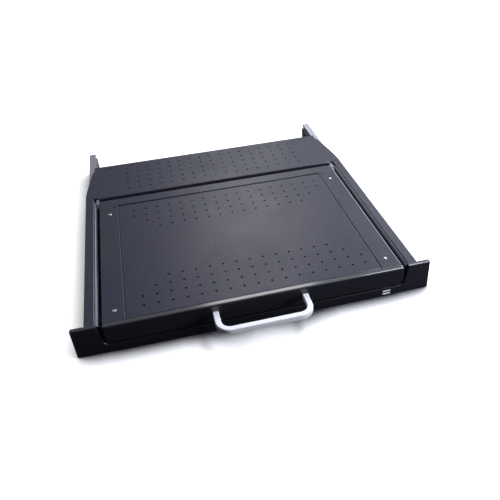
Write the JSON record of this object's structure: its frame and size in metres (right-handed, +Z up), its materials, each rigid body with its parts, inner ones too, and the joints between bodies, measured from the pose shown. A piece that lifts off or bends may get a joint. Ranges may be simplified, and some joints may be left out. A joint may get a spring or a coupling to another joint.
{
  "type": "rackmount lcd console drawer",
  "caption": "One rack unit console drawer on telescopic slides, with keyboard and touchpad under a hinged lid that holds a flat display and a bow handle.",
  "frame": {"origin": "centre of the four front rack holes, on the bracket faces that meet the rack posts", "axes": "+X to the right seen from the front, +Y back into the rack, +Z up"},
  "size_m": [0.4826, 0.5603, 0.0444],
  "materials": {
    "black_paint": "fine textured black powder coat, satin",
    "bezel_paint": "smooth satin black paint",
    "lid_plastic": "fine textured black paint on the moulded lid",
    "handle_white": "white powder coat, semi gloss",
    "zinc_steel": "bright zinc plated rolled steel",
    "plated_steel": "nickel plated steel",
    "steel_pin": "turned steel",
    "black_screw": "black oxide steel",
    "key_plastic": "fine matt black moulded keycaps",
    "black_plastic": "matt black moulded plastic",
    "screen": "dark anti-glare screen",
    "indicator": "clear white light bars",
    "board_green": "green solder mask",
    "cage_steel": "thin spring steel strip",
    "supply_metal": "folded aluminium can"
  },
  "bodies": {
    "rack_slides": {"outer_slide_left": "zinc_steel", "outer_slide_right": "zinc_steel", "front_bracket_left": "black_paint", "front_bracket_right": "black_paint", "bracket_rivets": "zinc_steel"},
    "middle_slides": {"middle_slide_left": "zinc_steel", "middle_slide_right": "zinc_steel"},
    "outer_cages": {"outer_ball_cages": "cage_steel"},
    "inner_cages": {"inner_ball_cages": "cage_steel"},
    "drawer": {"inner_slide_left": "zinc_steel", "inner_slide_right": "zinc_steel", "base_tray": "black_paint", "front_bezel": "bezel_paint", "indicator_bars": "indicator", "side_cover_left": "black_paint", "side_cover_right": "black_paint", "rear_cover": "black_paint", "rear_panel": "black_paint", "cover_screws": "black_screw", "slide_screws": "zinc_steel", "hinge_bracket_left": "zinc_steel", "hinge_bracket_right": "zinc_steel", "hinge_pins": "steel_pin", "keyboard_deck": "bezel_paint", "keyboard_plate": "zinc_steel", "touchpad": "black_plastic", "kvm_board": "board_green", "board_standoffs": "plated_steel", "power_supply": "supply_metal", "iec_inlet": "black_plastic", "switch_housing": "black_plastic", "video_port": "black_plastic", "usb_port": "plated_steel"},
    "lid": {"lid_frame": "lid_plastic", "lid_front_bar": "bezel_paint", "lid_vent_panel": "lid_plastic", "lid_screws": "plated_steel", "handle": "handle_white", "handle_screws": "black_screw", "lcd_frame": "bezel_paint", "display_panel": "screen", "display_board": "board_green", "osd_board": "board_green", "hinge_leaves": "zinc_steel", "display_brackets": "zinc_steel"},
    "function_keys": {"function_keys": "key_plastic"},
    "number_row_keys": {"number_row_keys": "key_plastic"},
    "upper_letter_keys": {"upper_letter_keys": "key_plastic"},
    "home_row_keys": {"home_row_keys": "key_plastic"},
    "lower_letter_keys": {"lower_letter_keys": "key_plastic"},
    "bottom_keys": {"bottom_keys": "key_plastic"},
    "space_bar": {"space_bar": "key_plastic"},
    "number_pad_keys": {"number_pad_keys": "key_plastic"},
    "pad_button_left": {"pad_button_left": "key_plastic"},
    "pad_button_right": {"pad_button_right": "key_plastic"},
    "power_rocker": {"power_rocker": "key_plastic"},
    "osd_button_1": {"osd_button_1": "black_plastic"},
    "osd_button_2": {"osd_button_2": "black_plastic"},
    "osd_button_3": {"osd_button_3": "black_plastic"},
    "osd_button_4": {"osd_button_4": "black_plastic"}
  },
  "joints": [
    {"name": "drawer_slide", "type": "slide", "parent": "rack_slides", "child": "drawer", "axis": [0, -1, 0], "range_m": [0, 0.43]},
    {"name": "middle_slide", "type": "slide", "parent": "rack_slides", "child": "middle_slides", "axis": [0, -1, 0], "range_m": [0, 0.215]},
    {"name": "outer_cage_roll", "type": "slide", "parent": "rack_slides", "child": "outer_cages", "axis": [0, -1, 0], "range_m": [0, 0.1075]},
    {"name": "inner_cage_roll", "type": "slide", "parent": "rack_slides", "child": "inner_cages", "axis": [0, -1, 0], "range_m": [0, 0.3225]},
    {"name": "lid_hinge", "type": "hinge", "parent": "drawer", "child": "lid", "pos_m": [0, 0.3027, 0.013], "axis": [-1, 0, 0], "range_deg": [0, 110]},
    {"name": "function_keys_press", "type": "slide", "parent": "drawer", "child": "function_keys", "axis": [0, 0, -1], "range_m": [0, 0.0022], "stiffness_N_per_m": 400, "springref_m": -0.002},
    {"name": "number_row_keys_press", "type": "slide", "parent": "drawer", "child": "number_row_keys", "axis": [0, 0, -1], "range_m": [0, 0.0022], "stiffness_N_per_m": 400, "springref_m": -0.002},
    {"name": "upper_letter_keys_press", "type": "slide", "parent": "drawer", "child": "upper_letter_keys", "axis": [0, 0, -1], "range_m": [0, 0.0022], "stiffness_N_per_m": 400, "springref_m": -0.002},
    {"name": "home_row_keys_press", "type": "slide", "parent": "drawer", "child": "home_row_keys", "axis": [0, 0, -1], "range_m": [0, 0.0022], "stiffness_N_per_m": 400, "springref_m": -0.002},
    {"name": "lower_letter_keys_press", "type": "slide", "parent": "drawer", "child": "lower_letter_keys", "axis": [0, 0, -1], "range_m": [0, 0.0022], "stiffness_N_per_m": 400, "springref_m": -0.002},
    {"name": "bottom_keys_press", "type": "slide", "parent": "drawer", "child": "bottom_keys", "axis": [0, 0, -1], "range_m": [0, 0.0022], "stiffness_N_per_m": 400, "springref_m": -0.002},
    {"name": "space_bar_press", "type": "slide", "parent": "drawer", "child": "space_bar", "axis": [0, 0, -1], "range_m": [0, 0.0022], "stiffness_N_per_m": 400, "springref_m": -0.002},
    {"name": "number_pad_keys_press", "type": "slide", "parent": "drawer", "child": "number_pad_keys", "axis": [0, 0, -1], "range_m": [0, 0.0022], "stiffness_N_per_m": 400, "springref_m": -0.002},
    {"name": "pad_button_left_press", "type": "slide", "parent": "drawer", "child": "pad_button_left", "axis": [0, 0, -1], "range_m": [0, 0.0006], "stiffness_N_per_m": 800, "springref_m": -0.0005},
    {"name": "pad_button_right_press", "type": "slide", "parent": "drawer", "child": "pad_button_right", "axis": [0, 0, -1], "range_m": [0, 0.0006], "stiffness_N_per_m": 800, "springref_m": -0.0005},
    {"name": "osd_button_1_press", "type": "slide", "parent": "lid", "child": "osd_button_1", "axis": [0, 0, 1], "range_m": [0, 0.0008], "stiffness_N_per_m": 800, "springref_m": -0.0005},
    {"name": "osd_button_2_press", "type": "slide", "parent": "lid", "child": "osd_button_2", "axis": [0, 0, 1], "range_m": [0, 0.0008], "stiffness_N_per_m": 800, "springref_m": -0.0005},
    {"name": "osd_button_3_press", "type": "slide", "parent": "lid", "child": "osd_button_3", "axis": [0, 0, 1], "range_m": [0, 0.0008], "stiffness_N_per_m": 800, "springref_m": -0.0005},
    {"name": "osd_button_4_press", "type": "slide", "parent": "lid", "child": "osd_button_4", "axis": [0, 0, 1], "range_m": [0, 0.0008], "stiffness_N_per_m": 800, "springref_m": -0.0005},
    {"name": "power_rocker_tilt", "type": "hinge", "parent": "drawer", "child": "power_rocker", "pos_m": [-0.128, 0.4367, 0], "axis": [0, 0, 1], "range_deg": [0, 16]}
  ],
  "couplings": [
    {"joint": "middle_slide", "follows": "drawer_slide", "ratio": 0.5},
    {"joint": "outer_cage_roll", "follows": "drawer_slide", "ratio": 0.25},
    {"joint": "inner_cage_roll", "follows": "drawer_slide", "ratio": 0.75}
  ]
}
